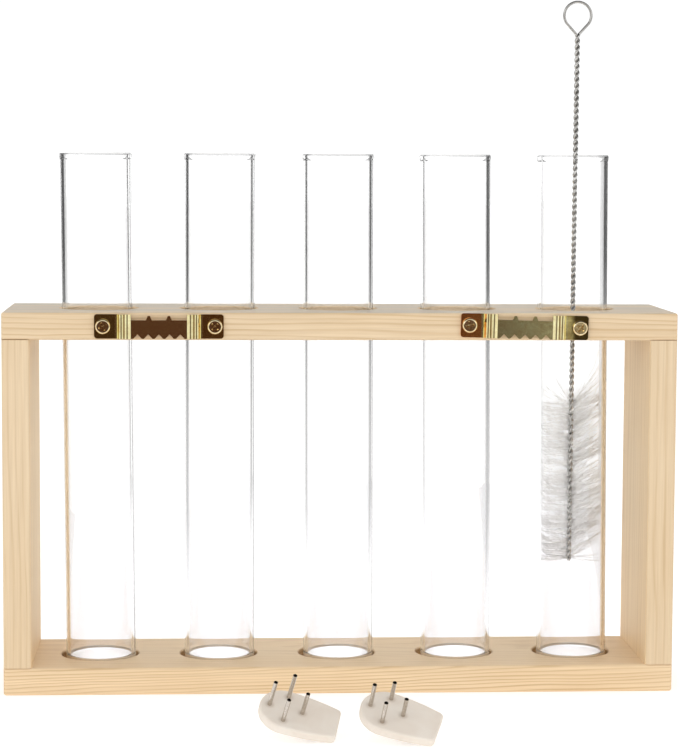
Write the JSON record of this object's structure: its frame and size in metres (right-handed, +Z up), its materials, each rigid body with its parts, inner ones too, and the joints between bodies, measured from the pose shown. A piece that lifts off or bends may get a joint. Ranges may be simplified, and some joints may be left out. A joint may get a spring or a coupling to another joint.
{
  "type": "test tube rack",
  "caption": "Pale wooden frame holding clear flat-bottomed glass tubes upright in a row, with sawtooth wall hangers on one side, a wire tube brush and pinned wall hooks.",
  "frame": {"origin": "centre of the rack's flat base face, on the surface that it stands on", "axes": "+X along the rack, +Y through its depth away from the hanger side, +Z up"},
  "size_m": [0.235, 0.1343, 0.2435],
  "materials": {
    "pine": "planed and sanded pale pine, bare",
    "dowel_wood": "bare beech dowel",
    "hanger_brass": "bright brass-plated steel sheet",
    "screw_brass": "bright brass-plated steel",
    "tube_glass": "clear, fire-polished rim",
    "brush_steel": "drawn wire, twisted",
    "bristle_nylon": "fine translucent white filaments",
    "hook_plastic": "moulded off-white, satin",
    "pin_steel": "hardened wire, cut ends dark"
  },
  "bodies": {
    "rack": {"top_rail": "pine", "bottom_rail": "pine", "left_post": "pine", "right_post": "pine", "dowel_top_left_front": "dowel_wood", "dowel_top_left_back": "dowel_wood", "dowel_top_right_front": "dowel_wood", "dowel_top_right_back": "dowel_wood", "dowel_bottom_left_front": "dowel_wood", "dowel_bottom_left_back": "dowel_wood", "dowel_bottom_right_front": "dowel_wood", "dowel_bottom_right_back": "dowel_wood", "left_hanger": "hanger_brass", "right_hanger": "hanger_brass", "left_hanger_screw_left": "screw_brass", "left_hanger_screw_right": "screw_brass", "right_hanger_screw_left": "screw_brass", "right_hanger_screw_right": "screw_brass"},
    "tube_1": {"tube_1": "tube_glass"},
    "tube_2": {"tube_2": "tube_glass"},
    "tube_3": {"tube_3": "tube_glass"},
    "tube_4": {"tube_4": "tube_glass"},
    "tube_5": {"tube_5": "tube_glass"},
    "brush": {"brush_wire": "brush_steel", "brush_bristles": "bristle_nylon"},
    "wall_hook_1": {"wall_hook_1": "hook_plastic", "wall_hook_1_pin_1": "pin_steel", "wall_hook_1_pin_2": "pin_steel", "wall_hook_1_pin_3": "pin_steel", "wall_hook_1_pin_4": "pin_steel"},
    "wall_hook_2": {"wall_hook_2": "hook_plastic", "wall_hook_2_pin_1": "pin_steel", "wall_hook_2_pin_2": "pin_steel", "wall_hook_2_pin_3": "pin_steel", "wall_hook_2_pin_4": "pin_steel"}
  },
  "joints": [
    {"name": "tube_1_lift", "type": "slide", "parent": "rack", "child": "tube_1", "axis": [-0.0084, 0, 1], "range_m": [0, 0.14]},
    {"name": "tube_2_lift", "type": "slide", "parent": "rack", "child": "tube_2", "axis": [0, 0, 1], "range_m": [0, 0.14]},
    {"name": "tube_3_lift", "type": "slide", "parent": "rack", "child": "tube_3", "axis": [-0.0042, 0, 1], "range_m": [0, 0.14]},
    {"name": "tube_4_lift", "type": "slide", "parent": "rack", "child": "tube_4", "axis": [-0.0084, 0, 1], "range_m": [0, 0.14]},
    {"name": "tube_5_lift", "type": "slide", "parent": "rack", "child": "tube_5", "axis": [-0.0086, 0, 1], "range_m": [0, 0.14]},
    {"name": "brush_slide", "type": "slide", "parent": "tube_5", "child": "brush", "axis": [-0.0086, 0, 1], "range_m": [-0.033, 0.155]},
    {"name": "wall_hook_1_lift", "type": "slide", "parent": "rack", "child": "wall_hook_1", "axis": [0, 0, 1], "range_m": [0, 0.05]},
    {"name": "wall_hook_2_lift", "type": "slide", "parent": "rack", "child": "wall_hook_2", "axis": [0, 0, 1], "range_m": [0, 0.05]}
  ]
}
